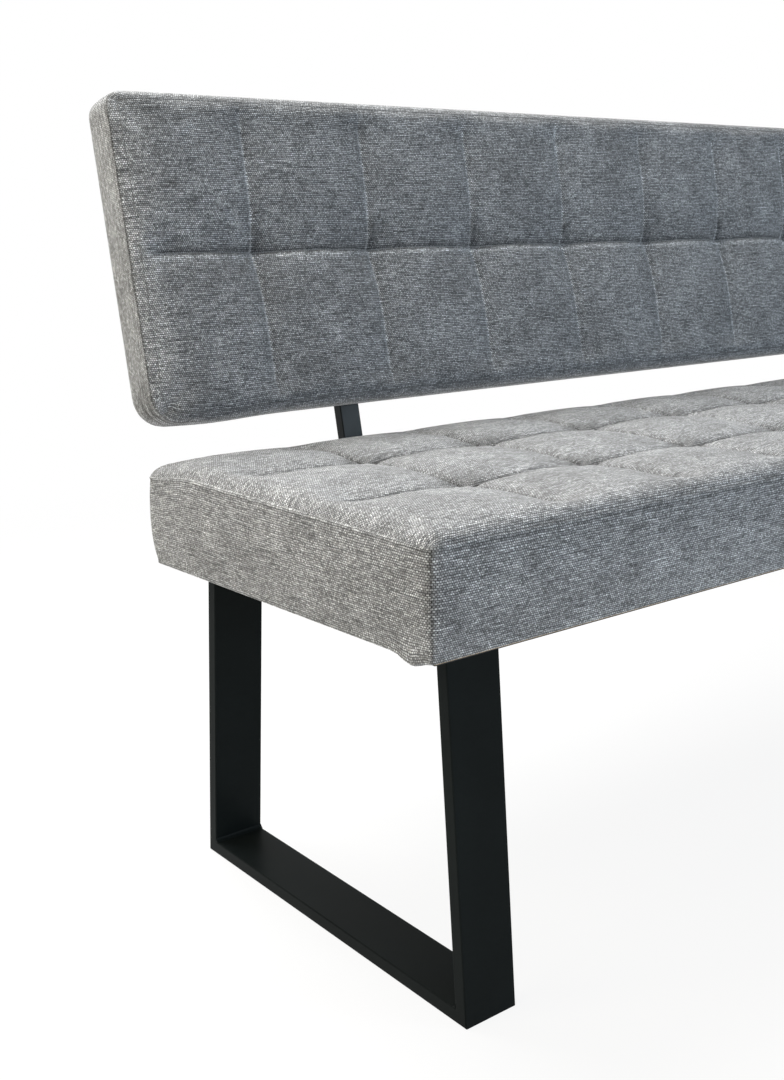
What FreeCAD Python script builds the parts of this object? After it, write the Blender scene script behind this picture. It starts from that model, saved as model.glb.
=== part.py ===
import FreeCAD, Part
import math
import os

# Upholstered bench with a backrest, on two loop legs of flat steel tube.
# X runs along the bench, the front faces -Y, Z is up and the floor is Z = 0.
# Lengths are in millimetres and angles in degrees.

V = FreeCAD.Vector

# Seat, measured over the cover
seat_length = 1800.0
seat_depth = 505.0
seat_underside = 376.0
seat_edge_height = 112.0
seat_rows = 3

# Quilting columns, shared by the seat and the backrest
columns = 10
end_column = 192.0

# Soft form of the seat cover
seat_crown = 10.0
seat_tuft_drop = 3.0
seat_seam_rise = 4.0
seat_side_bulge = 4.0
seat_side_tuck = 6.0
seat_end_round = 12.0
seat_end_inset = 20.0
seat_side_wall = 10.0
seat_end_wall = 16.0
seat_tuft_padding = 9.0

# Seat timber
rail_thickness = 22.0
rail_height = 50.0
cross_rail_height = 30.0
leg_cross_rail_width = 90.0
post_cross_rail_width = 64.0
deck_thickness = 9.0
dust_cover_thickness = 1.0

# Backrest, measured over the cover along its slope
back_end_inset = 25.0
back_height = 378.0
back_lower_row = 193.0
back_tilt = 11.8
back_gap = 12.0
back_rise = 42.0

# Soft form of the backrest cover
back_crown = 9.0
back_tuft_drop = 5.0
back_seam_drop = 1.0
back_side_bulge = 2.5
back_side_tuck = 3.0
back_end_round = 16.0
back_end_inset_curve = 20.0
back_side_wall = 10.0
back_end_wall = 18.0
back_tuft_padding = 8.0

# Layers of the backrest, from the front edge backwards
back_foam_thickness = 8.0
back_board_thickness = 8.0
back_rear_foam_thickness = 18.0
back_rear_cover_thickness = 2.0
back_rear_cover_corner = 18.0

# Leg frames
bar_width = 65.0
bar_thickness = 15.0
bar_wall = 2.0
bar_edge_radius = 1.5
foot_inset = 12.5
leg_lean = 4.4
leg_inset = 55.0
weld_leg = 4.5
weld_dish = 0.42

# Back posts and their arms under the seat
post_width = 30.0
post_depth = 15.0
post_wall = 1.5
post_column_share = 0.73
post_headroom = 58.0
post_clearance = 0.4
arm_thickness = 8.0
arm_length = 320.0
arm_corner_radius = 6.0
arm_rear_margin = 6.0

# Fasteners
leg_bolts = 4
leg_bolt_margin = 60.0
arm_bolts = 3
arm_bolt_margin = 40.0
arm_bolt_rear_margin = 30.0
back_bolts = 3
back_bolt_margin = 60.0
frame_bolt_radius = 4.0
frame_bolt_head_width = 13.0
frame_bolt_head_height = 5.3
frame_washer_radius = 8.0
frame_washer_thickness = 1.6
back_bolt_radius = 3.0
back_bolt_head_radius = 6.0
back_bolt_head_height = 2.5
bolt_clearance = 0.3
tee_nut_flange = 1.5
tee_nut_flange_radius = 10.0
tee_nut_wall = 1.2
tee_nut_thread_gap = 0.05
tee_nut_depth_share = 0.6

# Tufting twines and their washers
twine_radius = 1.2
twine_clearance = 0.3
twine_tail = 3.0
tuft_washer_radius = 8.0
tuft_washer_thickness = 1.5
tuft_washer_room = 0.5

# Places worked out from the sizes above
seat_edge = seat_underside + seat_edge_height
column_pitch = (seat_length - 2 * end_column) / (columns - 2)
column_lines = [(i - columns / 2) * column_pitch for i in range(1, columns)]
row_pitch = seat_depth / seat_rows
row_lines = [(i - seat_rows / 2) * row_pitch for i in range(1, seat_rows)]

inner_length = seat_length - 2 * seat_end_wall
inner_depth = seat_depth - 2 * seat_side_wall
frame_base = seat_underside + dust_cover_thickness
deck_base = frame_base + rail_height
foam_base = deck_base + deck_thickness
foam_top = seat_edge - seat_tuft_drop - seat_tuft_padding
bay_depth = inner_depth - 2 * rail_thickness

foot_length = seat_depth - 2 * foot_inset
leg_outer_x = seat_length / 2 - leg_inset
leg_middle_x = leg_outer_x - bar_width / 2
post_x = column_lines[-1] - post_column_share * column_pitch

back_length = seat_length - 2 * back_end_inset
back_foam_front = back_tuft_drop + back_tuft_padding
back_board_front = back_foam_front + back_foam_thickness
back_board_rear = back_board_front + back_board_thickness
back_pad_depth = back_board_rear + back_rear_foam_thickness
back_low = back_side_wall
back_high = back_height - back_side_wall
half_back = back_length / 2 - back_end_wall
post_reach = back_high - post_headroom
back_y = seat_depth / 2 + back_gap
back_z = seat_edge + back_rise
tilt_sine = math.sin(math.radians(back_tilt))
tilt_cosine = math.cos(math.radians(back_tilt))

pieces = {}


def box(x0, x1, y0, y1, z0, z1):
    """Returns a block between two corners."""
    return Part.makeBox(x1 - x0, y1 - y0, z1 - z0, V(x0, y0, z0))


def centred_box(length, depth, z0, z1):
    """Returns a block centred on the Z axis."""
    return box(-length / 2, length / 2, -depth / 2, depth / 2, z0, z1)


def rod(radius, start, end):
    """Returns a round rod from one point to another."""
    run = end - start
    return Part.makeCylinder(radius, run.Length, start, run)


def ring(outer, inner, start, end):
    """Returns a round washer or sleeve between two points."""
    return rod(outer, start, end).cut(rod(inner, start, end))


def hexagon(width, start, end):
    """Returns a hexagonal prism of the given width across its flats."""
    run = end - start
    radius = width / math.sqrt(3)
    corners = [V(radius * math.cos(math.radians(60 * i)), radius * math.sin(math.radians(60 * i)), 0) for i in range(7)]
    prism = Part.Face(Part.makePolygon(corners)).extrude(V(0, 0, run.Length))
    prism.Placement = FreeCAD.Placement(start, FreeCAD.Rotation(V(0, 0, 1), run))
    return prism


def arc(start, middle, end):
    """Returns the circular arc through three points."""
    return Part.Arc(start, middle, end).toShape()


def line(start, end):
    """Returns a straight edge."""
    return Part.LineSegment(start, end).toShape()


def round_long_edges(solid, radius, count=4):
    """Rounds the longest edges of a bar."""
    edges = sorted(solid.Edges, key=lambda edge: -edge.Length)
    return solid.makeFillet(radius, edges[:count])


def place_back(shape):
    """Moves a shape from the backrest's own frame (Y into the depth, Z up the slope) to its tilted place."""
    placed = shape.copy()
    placed.rotate(V(0, 0, 0), V(1, 0, 0), -back_tilt)
    placed.translate(V(0, back_y, back_z))
    return placed


def tee_nut(bolt_radius, top, direction, depth):
    """Returns a tee nut whose flange lies on a face at top and whose barrel sinks into the wood."""
    bore = bolt_radius + tee_nut_thread_gap
    barrel = bolt_radius + tee_nut_wall
    flange = ring(tee_nut_flange_radius, bore, top, top + direction * tee_nut_flange)
    sleeve = ring(barrel, bore, top - direction * depth, top)
    return flange.fuse(sleeve).removeSplitter()


def tee_nut_hole(bolt_radius, top, direction, depth, through):
    """Returns the stepped hole that a bolt and its tee nut need in a piece of wood."""
    barrel = rod(bolt_radius + tee_nut_wall + bolt_clearance, top - direction * depth, top)
    shank = rod(bolt_radius + bolt_clearance, top - direction * through, top)
    return barrel.fuse(shank)


# Quilted pads

def pad_section(x, half, edge, tuck, bulge, seams, seam_height, peak_height):
    """Returns one closed cross-section of a pad: flat below, swelling sides, one arc per quilted row on top."""
    foot = half - tuck
    swell = half - tuck / 2 + bulge
    across = [-half] + seams + [half]
    heights = [edge] + [seam_height] * len(seams) + [edge]
    edges = [line(V(x, -foot, 0), V(x, foot, 0))]
    edges.append(arc(V(x, foot, 0), V(x, swell, edge / 2), V(x, half, edge)))
    for i in range(len(across) - 1, 0, -1):
        middle = V(x, (across[i] + across[i - 1]) / 2, peak_height)
        edges.append(arc(V(x, across[i], heights[i]), middle, V(x, across[i - 1], heights[i - 1])))
    edges.append(arc(V(x, -half, edge), V(x, -swell, edge / 2), V(x, -foot, 0)))
    return Part.Wire(edges)


def quilted_pad(length, width, edge, seams, form):
    """Returns a quilted pad as a loft of cross-sections along X, creased at the seams, with tufts where they cross."""
    seam_peak_share = 0.45
    swell = ((0.1, 0.5), (0.25, 0.85), (0.5, 1), (0.75, 0.85), (0.9, 0.5))
    end_shares = (0.0, 0.12, 0.45, 1.0)
    end_peak_share, end_seam_share = 0.5, 0.35

    def between(low, high, share):
        return low + (high - low) * share

    def quilted(x, lift):
        seam_height = between(edge - form["tuft_drop"], edge + form["seam_rise"], lift)
        peak = edge + form["crown"] * between(seam_peak_share, 1, lift)
        return x, 0, edge, seam_height, peak

    def rounded(x, share):
        inset = form["end_inset"] * (1 - math.sqrt(1 - (1 - share) ** 2))
        height = edge - inset / 2
        return x, inset, height, height + form["crown"] * end_seam_share * share, height + form["crown"] * end_peak_share

    end = length / 2
    flat_end = end - form["end_round"]
    lines = [-flat_end] + column_lines + [flat_end]
    stations = [rounded(-end + form["end_round"] * share, share) for share in end_shares]
    for left, right in zip(lines, lines[1:]):
        if left > -flat_end:
            stations.append(quilted(left, 0))
        for share, lift in swell:
            stations.append(quilted(between(left, right, share), lift))
    stations += [rounded(end - form["end_round"] * share, share) for share in reversed(end_shares)]
    sections = [
        pad_section(x, width / 2 - inset, height, form["tuck"], form["bulge"], seams, seam_height, peak)
        for x, inset, height, seam_height, peak in stations]
    return Part.makeLoft(sections, True, True)


# Leg frames: nested trapezoids give the outside, the walls and the mitres of each bar

def loop_corners(inset):
    """Returns the trapezoid's corners, moved in by a distance: front foot, rear foot, rear top, front top."""
    lean = math.radians(leg_lean)

    def half_at(height):
        return foot_length / 2 - height * math.tan(lean) - inset / math.cos(lean)

    low, high = inset, seat_underside - inset
    return [(-half_at(low), low), (half_at(low), low), (half_at(high), high), (-half_at(high), high)]


def loop_bar(side, outer, inner, x_inset):
    """Returns one mitred bar of the loop between two insets, as a prism across the bar's width."""
    x0 = side * leg_outer_x - (bar_width if side > 0 else 0) + x_inset
    near, far = loop_corners(outer), loop_corners(inner)
    prisms = []
    for i in range(4):
        j = (i + 1) % 4
        ring_points = [V(x0, *near[i]), V(x0, *near[j]), V(x0, *far[j]), V(x0, *far[i]), V(x0, *near[i])]
        face = Part.Face(Part.makePolygon(ring_points))
        prisms.append(face.extrude(V(bar_width - 2 * x_inset, 0, 0)))
    return prisms


def weld_beads(side):
    """Returns the four fillet welds in the loop's inside corners."""
    x0 = side * leg_outer_x - (bar_width if side > 0 else 0)
    corners = loop_corners(bar_thickness)
    beads = []
    for i in range(4):
        corner = V(x0, *corners[i])
        before = V(x0, *corners[i - 1]) - corner
        after = V(x0, *corners[(i + 1) % 4]) - corner
        first = corner + before.normalize() * weld_leg
        last = corner + after.normalize() * weld_leg
        dished = corner + (first - corner + last - corner) * weld_dish
        outline = Part.Wire([line(corner, first), arc(first, dished, last), line(last, corner)])
        beads.append(Part.Face(outline).extrude(V(bar_width, 0, 0)))
    return beads


def spread(first, last, count):
    """Returns evenly spaced values from first to last."""
    return [first + (last - first) * i / (count - 1) for i in range(count)]


def frame_bolt_places(side):
    """Returns the points on top of a leg frame where its bolts pass."""
    reach = loop_corners(0)[2][0] - leg_bolt_margin
    return [V(side * leg_middle_x, y, seat_underside) for y in spread(-reach, reach, leg_bolts)]


def arm_bolt_places(side):
    """Returns the points on top of a post arm where its bolts pass, from its front end to the rear seat rail."""
    first = arm_rear - arm_length + arm_bolt_margin
    last = bay_depth / 2 - arm_bolt_rear_margin
    return [V(side * post_x, y, seat_underside) for y in spread(first, last, arm_bolts)]


def back_bolt_places(side):
    """Returns the points on the post's rear face, in the backrest's frame, where its bolts pass."""
    heights = spread(back_low + back_bolt_margin, post_reach - back_bolt_margin, back_bolts)
    return [V(side * post_x, post_rear, z) for z in heights]


def bolt_from_below(place, underside):
    """Returns a hexagon bolt, its washer and its tee nut for a joint through place."""
    up = V(0, 0, 1)
    seat = V(place.x, place.y, underside)
    washer_base = seat - up * frame_washer_thickness
    head_base = washer_base - up * frame_bolt_head_height
    nut_top = V(place.x, place.y, frame_base + cross_rail_height)
    bolt = hexagon(frame_bolt_head_width, head_base, washer_base)
    bolt = bolt.fuse(rod(frame_bolt_radius, washer_base, nut_top + up * tee_nut_flange)).removeSplitter()
    washer = ring(frame_washer_radius, frame_bolt_radius + bolt_clearance, washer_base, seat)
    nut = tee_nut(frame_bolt_radius, nut_top, up, cross_rail_height * tee_nut_depth_share)
    return bolt, washer, nut


def cut_bolt_holes(shape, places, low, high):
    """Drills upright clearance holes at each place."""
    radius = frame_bolt_radius + bolt_clearance
    return shape.cut(Part.makeCompound([rod(radius, V(p.x, p.y, low), V(p.x, p.y, high)) for p in places]))


# Posts: where the leaning tube meets the arm's upper face
post_front = back_board_rear
post_rear = post_front + post_depth
post_base = (seat_underside - back_z + post_front * tilt_sine) / tilt_cosine
post_foot_front = back_y + post_front * tilt_cosine + post_base * tilt_sine
post_foot_rear = post_foot_front + post_depth / tilt_cosine
arm_rear = post_foot_rear + arm_rear_margin

sides = (("left", -1), ("right", 1))

for name, side in sides:
    solid_bars = loop_bar(side, 0, bar_thickness, 0)
    hollows = loop_bar(side, bar_wall, bar_thickness - bar_wall, bar_wall)
    places = frame_bolt_places(side)
    for i, bar_name in enumerate(("floor_rail", "leg_rear", "top_rail", "leg_front")):
        bar = round_long_edges(solid_bars[i], bar_edge_radius).cut(hollows[i])
        if bar_name == "top_rail":
            bar = cut_bolt_holes(bar, places, seat_underside - bar_thickness, seat_underside)
        pieces[bar_name + "_" + name] = bar
    pieces["leg_welds_" + name] = Part.makeCompound(weld_beads(side))

for name, side in sides:
    x0, x1 = side * post_x - post_width / 2, side * post_x + post_width / 2
    tube = box(x0, x1, post_front, post_rear, post_base, post_reach)
    tube = round_long_edges(tube, bar_edge_radius)
    tube = tube.cut(box(x0 + post_wall, x1 - post_wall, post_front + post_wall, post_rear - post_wall,
                        post_base, post_reach))
    for p in back_bolt_places(side):
        tube = tube.cut(rod(back_bolt_radius + bolt_clearance, V(p.x, post_front, p.z), V(p.x, post_rear, p.z)))
    ground = centred_box(2 * seat_length, 4 * seat_depth, 0, seat_underside)
    pieces["back_post_" + name] = place_back(tube).cut(ground)
    arm = box(x0, x1, arm_rear - arm_length, arm_rear, seat_underside - arm_thickness, seat_underside)
    upright = [edge for edge in arm.Edges if abs(edge.Length - arm_thickness) < 1e-6]
    arm = arm.makeFillet(arm_corner_radius, upright)
    pieces["post_arm_" + name] = cut_bolt_holes(
        arm, arm_bolt_places(side), seat_underside - arm_thickness, seat_underside)

post_welds = []
for name, side in sides:
    for foot, outward in ((post_foot_front, -1), (post_foot_rear, 1)):
        corner = V(side * post_x - post_width / 2, foot, seat_underside)
        along = corner + V(0, outward * weld_leg, 0)
        up_post = corner + V(0, tilt_sine, tilt_cosine) * weld_leg
        bead = Part.Face(Part.makePolygon([corner, along, up_post, corner]))
        post_welds.append(bead.extrude(V(post_width, 0, 0)))
pieces["post_welds"] = Part.makeCompound(post_welds)

# Seat timber frame
half_inner = inner_length / 2
half_depth = inner_depth / 2
for name, y0 in (("front", -half_depth), ("rear", half_depth - rail_thickness)):
    pieces["seat_rail_" + name] = box(-half_inner, half_inner, y0, y0 + rail_thickness, frame_base, deck_base)
for name, side in sides:
    x0 = -half_inner if side < 0 else half_inner - rail_thickness
    pieces["seat_rail_end_" + name] = box(x0, x0 + rail_thickness, -bay_depth / 2, bay_depth / 2, frame_base, deck_base)
    middle = side * column_pitch / 2
    pieces["seat_bearer_" + name] = box(
        middle - rail_thickness / 2, middle + rail_thickness / 2, -bay_depth / 2, bay_depth / 2, frame_base, deck_base)

cross_top = frame_base + cross_rail_height
for name, side in sides:
    for rail_name, middle, width, places in (
            ("leg_cross_rail_", side * leg_middle_x, leg_cross_rail_width, frame_bolt_places(side)),
            ("post_cross_rail_", side * post_x, post_cross_rail_width, arm_bolt_places(side))):
        rail = box(middle - width / 2, middle + width / 2, -bay_depth / 2, bay_depth / 2, frame_base, cross_top)
        for p in places:
            top = V(p.x, p.y, cross_top)
            depth = cross_rail_height * tee_nut_depth_share
            rail = rail.cut(tee_nut_hole(frame_bolt_radius, top, V(0, 0, 1), depth, cross_rail_height))
        pieces[rail_name + name] = rail

frame_places = frame_bolt_places(-1) + frame_bolt_places(1)
arm_places = arm_bolt_places(-1) + arm_bolt_places(1)
for prefix, places, thickness in (("leg", frame_places, bar_thickness), ("arm", arm_places, arm_thickness)):
    sets = [bolt_from_below(p, seat_underside - thickness) for p in places]
    pieces[prefix + "_bolts"] = Part.makeCompound([s[0] for s in sets])
    pieces[prefix + "_washers"] = Part.makeCompound([s[1] for s in sets])
    pieces[prefix + "_tee_nuts"] = Part.makeCompound([s[2] for s in sets])

dust_cover = centred_box(inner_length, inner_depth, seat_underside, frame_base)
pieces["seat_dust_cover"] = cut_bolt_holes(dust_cover, frame_places + arm_places, seat_underside, frame_base)

# Seat deck, foam and tufting twines
tufts = [(x, y) for x in column_lines for y in row_lines]
twine_bores = Part.makeCompound(
    [rod(twine_radius + twine_clearance, V(x, y, deck_base), V(x, y, foam_top)) for x, y in tufts])
pieces["seat_deck"] = centred_box(inner_length, inner_depth, deck_base, foam_base).cut(twine_bores)
pieces["seat_foam"] = centred_box(inner_length, inner_depth, foam_base, foam_top).cut(twine_bores)
washer_base = deck_base - tuft_washer_thickness
pieces["seat_tuft_twines"] = Part.makeCompound(
    [rod(twine_radius, V(x, y, washer_base - twine_tail), V(x, y, foam_top)) for x, y in tufts])
pieces["seat_tuft_washers"] = Part.makeCompound(
    [ring(tuft_washer_radius, twine_radius + twine_clearance, V(x, y, washer_base), V(x, y, deck_base))
     for x, y in tufts])

# Seat cover: the quilted pad, hollow where the frame, deck and foam sit
seat_form = {
    "crown": seat_crown, "tuft_drop": seat_tuft_drop, "seam_rise": seat_seam_rise, "bulge": seat_side_bulge,
    "tuck": seat_side_tuck, "end_round": seat_end_round, "end_inset": seat_end_inset}
seat_pad = quilted_pad(seat_length, seat_depth, seat_edge_height, row_lines, seat_form)
seat_pad.translate(V(0, 0, seat_underside))
pieces["seat_cover"] = seat_pad.cut(centred_box(inner_length, inner_depth, seat_underside, foam_top))

# Backrest, built upright in its own frame: Y runs from the front edge backwards, Z up from the lower edge

def back_layer(front, rear):
    """Returns one flat layer that fills the backrest cover's pocket."""
    return box(-half_back, half_back, front, rear, back_low, back_high)


back_tufts = [(x, back_lower_row) for x in column_lines]
back_bores = Part.makeCompound(
    [rod(twine_radius + twine_clearance, V(x, back_foam_front, z), V(x, back_board_rear, z)) for x, z in back_tufts])
bolt_places = back_bolt_places(-1) + back_bolt_places(1)
rearward = V(0, 1, 0)
forward = V(0, -1, 0)

nuts, bolts, nut_pockets = [], [], []
board = back_layer(back_board_front, back_board_rear).cut(back_bores)
for p in bolt_places:
    nut_face = V(p.x, back_board_front, p.z)
    nut_depth = back_board_thickness * tee_nut_depth_share
    nuts.append(tee_nut(back_bolt_radius, nut_face, forward, nut_depth))
    board = board.cut(tee_nut_hole(back_bolt_radius, nut_face, forward, nut_depth, back_board_thickness))
    head_face = p + rearward * back_bolt_head_height
    head = rod(back_bolt_head_radius, p, head_face)
    bolts.append(head.fuse(rod(back_bolt_radius, nut_face + forward * tee_nut_flange, p)).removeSplitter())
    nut_pockets.append(rod(tee_nut_flange_radius + bolt_clearance,
                           nut_face + forward * (tee_nut_flange + bolt_clearance), nut_face))
pieces["back_board"] = place_back(board)
pieces["back_tee_nuts"] = place_back(Part.makeCompound(nuts))
pieces["back_bolts"] = place_back(Part.makeCompound(bolts))
foam = back_layer(back_foam_front, back_board_front).cut(back_bores)
pieces["back_foam"] = place_back(foam.cut(Part.makeCompound(nut_pockets)))

washer_rear = back_board_rear + tuft_washer_thickness
pieces["back_tuft_twines"] = place_back(Part.makeCompound(
    [rod(twine_radius, V(x, back_foam_front, z), V(x, washer_rear + twine_tail, z)) for x, z in back_tufts]))
pieces["back_tuft_washers"] = place_back(Part.makeCompound(
    [ring(tuft_washer_radius, twine_radius + twine_clearance, V(x, back_board_rear, z), V(x, washer_rear, z))
     for x, z in back_tufts]))

# The rear foam has a channel for each post and a pocket for each tuft washer
channels = [
    box(side * post_x - post_width / 2 - post_clearance, side * post_x + post_width / 2 + post_clearance,
        back_board_rear, back_pad_depth, back_low, post_reach + post_clearance)
    for name, side in sides]
washer_pockets = [
    rod(tuft_washer_radius + tuft_washer_room, V(x, back_board_rear, z),
        V(x, washer_rear + twine_tail + tuft_washer_room, z)) for x, z in back_tufts]
rear_foam = back_layer(back_board_rear, back_pad_depth)
pieces["back_rear_foam"] = place_back(rear_foam.cut(Part.makeCompound(channels + washer_pockets)))

back_form = {
    "crown": back_crown, "tuft_drop": back_tuft_drop, "seam_rise": -back_seam_drop, "bulge": back_side_bulge,
    "tuck": back_side_tuck, "end_round": back_end_round, "end_inset": back_end_inset_curve}
back_pad = quilted_pad(back_length, back_height, back_pad_depth, [back_lower_row - back_height / 2], back_form)
back_pad.rotate(V(0, 0, 0), V(1, 0, 0), 90)
back_pad.translate(V(0, back_pad_depth, back_height / 2))
post_slots = [
    box(side * post_x - post_width / 2 - post_clearance, side * post_x + post_width / 2 + post_clearance,
        post_front - post_clearance, post_rear + post_clearance, -back_side_wall, back_low)
    for name, side in sides]
back_cover = back_pad.cut(back_layer(back_foam_front, back_pad_depth)).cut(Part.makeCompound(post_slots))
pieces["back_cover_front"] = place_back(back_cover)

rear_length = back_length - 2 * back_end_round
rear_low, rear_high = back_side_tuck, back_height - back_side_tuck
rear_cover = box(-rear_length / 2, rear_length / 2, back_pad_depth, back_pad_depth + back_rear_cover_thickness,
                 rear_low, rear_high)
corners = [edge for edge in rear_cover.Edges if abs(edge.Length - back_rear_cover_thickness) < 1e-6]
pieces["back_cover_rear"] = place_back(rear_cover.makeFillet(back_rear_cover_corner, corners))

# The origin is on the floor, under the middle of the whole bench
front_y = pieces["seat_cover"].optimalBoundingBox(False).YMin
rear_y = pieces["back_cover_rear"].optimalBoundingBox(False).YMax
to_middle = V(0, -(front_y + rear_y) / 2, 0)

os.makedirs("parts", exist_ok=True)
for name, shape in pieces.items():
    shape.translate(to_middle)
    shape.exportStep("parts/" + name + ".step")
print("pieces", len(pieces), "moved along Y by", round(to_middle.y, 3))
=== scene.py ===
import math

import bpy
import numpy as np
from bpy.props import FloatProperty, FloatVectorProperty, IntProperty, PointerProperty
from mathutils import Matrix, Vector


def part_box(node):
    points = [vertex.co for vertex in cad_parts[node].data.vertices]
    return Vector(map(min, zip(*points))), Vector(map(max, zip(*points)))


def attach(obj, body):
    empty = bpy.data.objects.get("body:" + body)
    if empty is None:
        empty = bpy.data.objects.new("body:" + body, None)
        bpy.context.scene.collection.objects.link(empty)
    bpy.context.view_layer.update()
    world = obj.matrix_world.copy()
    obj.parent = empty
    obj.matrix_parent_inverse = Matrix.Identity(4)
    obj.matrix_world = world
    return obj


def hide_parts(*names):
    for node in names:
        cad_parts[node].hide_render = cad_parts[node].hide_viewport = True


bl_info = {
    "name": "Upholstered bench with backrest",
    "version": (1, 0, 0),
    "blender": (4, 5, 0),
    "location": "View3D > Sidebar > Bench",
    "description": "Quilted cushions, stitching, finishes and studio for the bench on its packed frame",
    "category": "Object",
}

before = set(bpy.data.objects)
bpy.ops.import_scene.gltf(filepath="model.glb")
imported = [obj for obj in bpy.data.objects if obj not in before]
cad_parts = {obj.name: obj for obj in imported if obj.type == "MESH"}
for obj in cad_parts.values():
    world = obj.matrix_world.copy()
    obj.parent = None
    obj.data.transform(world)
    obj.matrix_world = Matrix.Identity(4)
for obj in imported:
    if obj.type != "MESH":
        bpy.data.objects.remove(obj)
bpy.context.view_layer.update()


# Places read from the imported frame, in metres

def node_box(name):
    """Low and high corner of a node's box."""
    return [np.array(corner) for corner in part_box(name)]


SEAT_LOW, SEAT_HIGH = node_box("seat_cover")
DUST_LOW, DUST_HIGH = node_box("seat_dust_cover")
TWINE_HIGH = node_box("seat_tuft_twines")[1]
BACK_HIGH = node_box("back_cover_front")[1]
TWINE_RADIUS = 0.0012
SEAT_MIDDLE_Y = float(DUST_LOW[1] + DUST_HIGH[1]) / 2
OUTER_COLUMN = float(TWINE_HIGH[0]) - TWINE_RADIUS

# How far the stitched edges stay inside the ends of the covers
SEAT_END_INSET = 0.004
BACK_END_INSET = 0.001

# Seed of the small differences between panels
SEED = 11

# Sewing thread, in metres
THREAD_RADIUS = 0.0005
TOPSTITCH_RADIUS = 0.0004
STITCH_LENGTH = 0.0042
STITCH_SINK = 0.0012
THREAD_STEP = 0.0008
THREAD_SIDES = 6

# Cloth simulation of the filling
CLOTH = {
    "quality": 4, "mass": 0.25, "tension_stiffness": 12, "compression_stiffness": 12, "shear_stiffness": 4,
    "bending_stiffness": 0.3, "use_pressure": True, "uniform_pressure_force": 4.0}

# Smallest difference between two places, in metres
TINY = 1e-6


# Kinds of settings
PLAIN = {}
NOT_NEGATIVE = {"min": 0}
METRES = {"unit": "LENGTH"}
ANGLE = {"subtype": "ANGLE", "unit": "ROTATION"}
COLOUR = {"subtype": "COLOR"}
WATTS = {"unit": "POWER", "min": 0}


def setting(kind, name, description, default):
    """A number of some kind, or as many numbers as the default has."""
    options = {"name": name, "description": description, "default": default, **kind}
    if isinstance(default, tuple):
        return FloatVectorProperty(size=len(default), **options)
    return FloatProperty(**options)


# Settings

class BenchSeat(bpy.types.PropertyGroup):
    """Sizes of the quilted seat cushion."""
    columns: IntProperty(name="Columns", description="Quilted panels along the bench", default=10, min=3)
    rows: IntProperty(name="Rows", description="Quilted panels from front to rear", default=3, min=1)
    depth: setting(METRES, "Depth", "Front to rear over the stitched edge", 0.505)
    edge_height: setting(METRES, "Edge height", "Underside to the stitched top edge", 0.111)
    rear_drop: setting(METRES, "Rear drop", "Fall of the stitched edge at the rear", 0.0100)


class BenchBack(bpy.types.PropertyGroup):
    """Sizes and place of the quilted backrest cushion."""
    height: setting(METRES, "Height", "Length up the slope", 0.378)
    lower_row: setting(METRES, "Lower row", "Lower edge to the middle seam", 0.193)
    thickness: setting(METRES, "Thickness", "Front edge to the rear panel", 0.049)
    tilt: setting(ANGLE, "Tilt", "Lean from upright", math.radians(11.8))
    foot_y: setting(METRES, "Foot Y", "Front lower edge, along Y", 0.196952)
    foot_z: setting(METRES, "Foot Z", "Front lower edge, above the floor", 0.53)


# Settings of both cushions: kind, what it is, and the defaults of seat and back
QUILT = {
    "crown": (METRES, "Rise of a panel above the edge", 0.0118, 0.011),
    "seam_rise": (PLAIN, "Share of the crown that a seam keeps", 0.42, 0.80),
    "tuft_depth": (METRES, "Pull of the twine at a tuft", 0.0024, 0.0062),
    "tuft_reach": (METRES, "Reach of a tuft's pull", 0.024, 0.032),
    "crease_depth": (METRES, "Depth of column and row seams", (0.0036, 0.0036), (0.0036, 0.0060)),
    "crease_width": (METRES, "Reach of a seam's pull", 0.004, 0.006),
    "lip_width": (METRES, "Reach of a row seam's pull on its far side", 0.004, 0.022),
    # seam_shade to pocket_width paint the cloth: shade in seam creases (light where negative), a shade halo,
    # light on lips, shadow in tuft pockets
    "seam_shade": (PLAIN, "Darkness of column and row seams", (0.45, 0.85), (-1.0, 0.65)),
    "shade_reach": (METRES, "Reach of a row seam's shade on its far side", 0.0026, 0.006),
    "halo": (PLAIN, "Soft shade beside the seams", 0.25, 0.20),
    "lip_light": (PLAIN, "Light on the near side of a row seam", 0.0, 0.85),
    "pocket_shade": (PLAIN, "Shade in the pocket at a tuft", 0.80, 0.90),
    "pocket_reach": (METRES, "Height of the pocket", 0.015, 0.013),
    "pocket_place": (METRES, "Middle of the pocket from the tuft", (0.0, 0.012), (0.006, 0.016)),
    "pocket_width": (PLAIN, "Width of the pocket to its height", 2.0, 0.6),
    "rim_groove": (METRES, "Depth of the topstitched groove", 0.0, 0.0010),
    "edge_roll": (METRES, "Width of the rounded rim", 0.021, 0.015),
    "puff": (METRES, "Most that the filling lifts the cloth", 0.004, 0.004),
}
for key, (kind, description, seat_default, back_default) in QUILT.items():
    name = key.replace("_", " ").capitalize()
    BenchSeat.__annotations__[key] = setting(kind, name, description, seat_default)
    BenchBack.__annotations__[key] = setting(kind, name, description, back_default)


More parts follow.
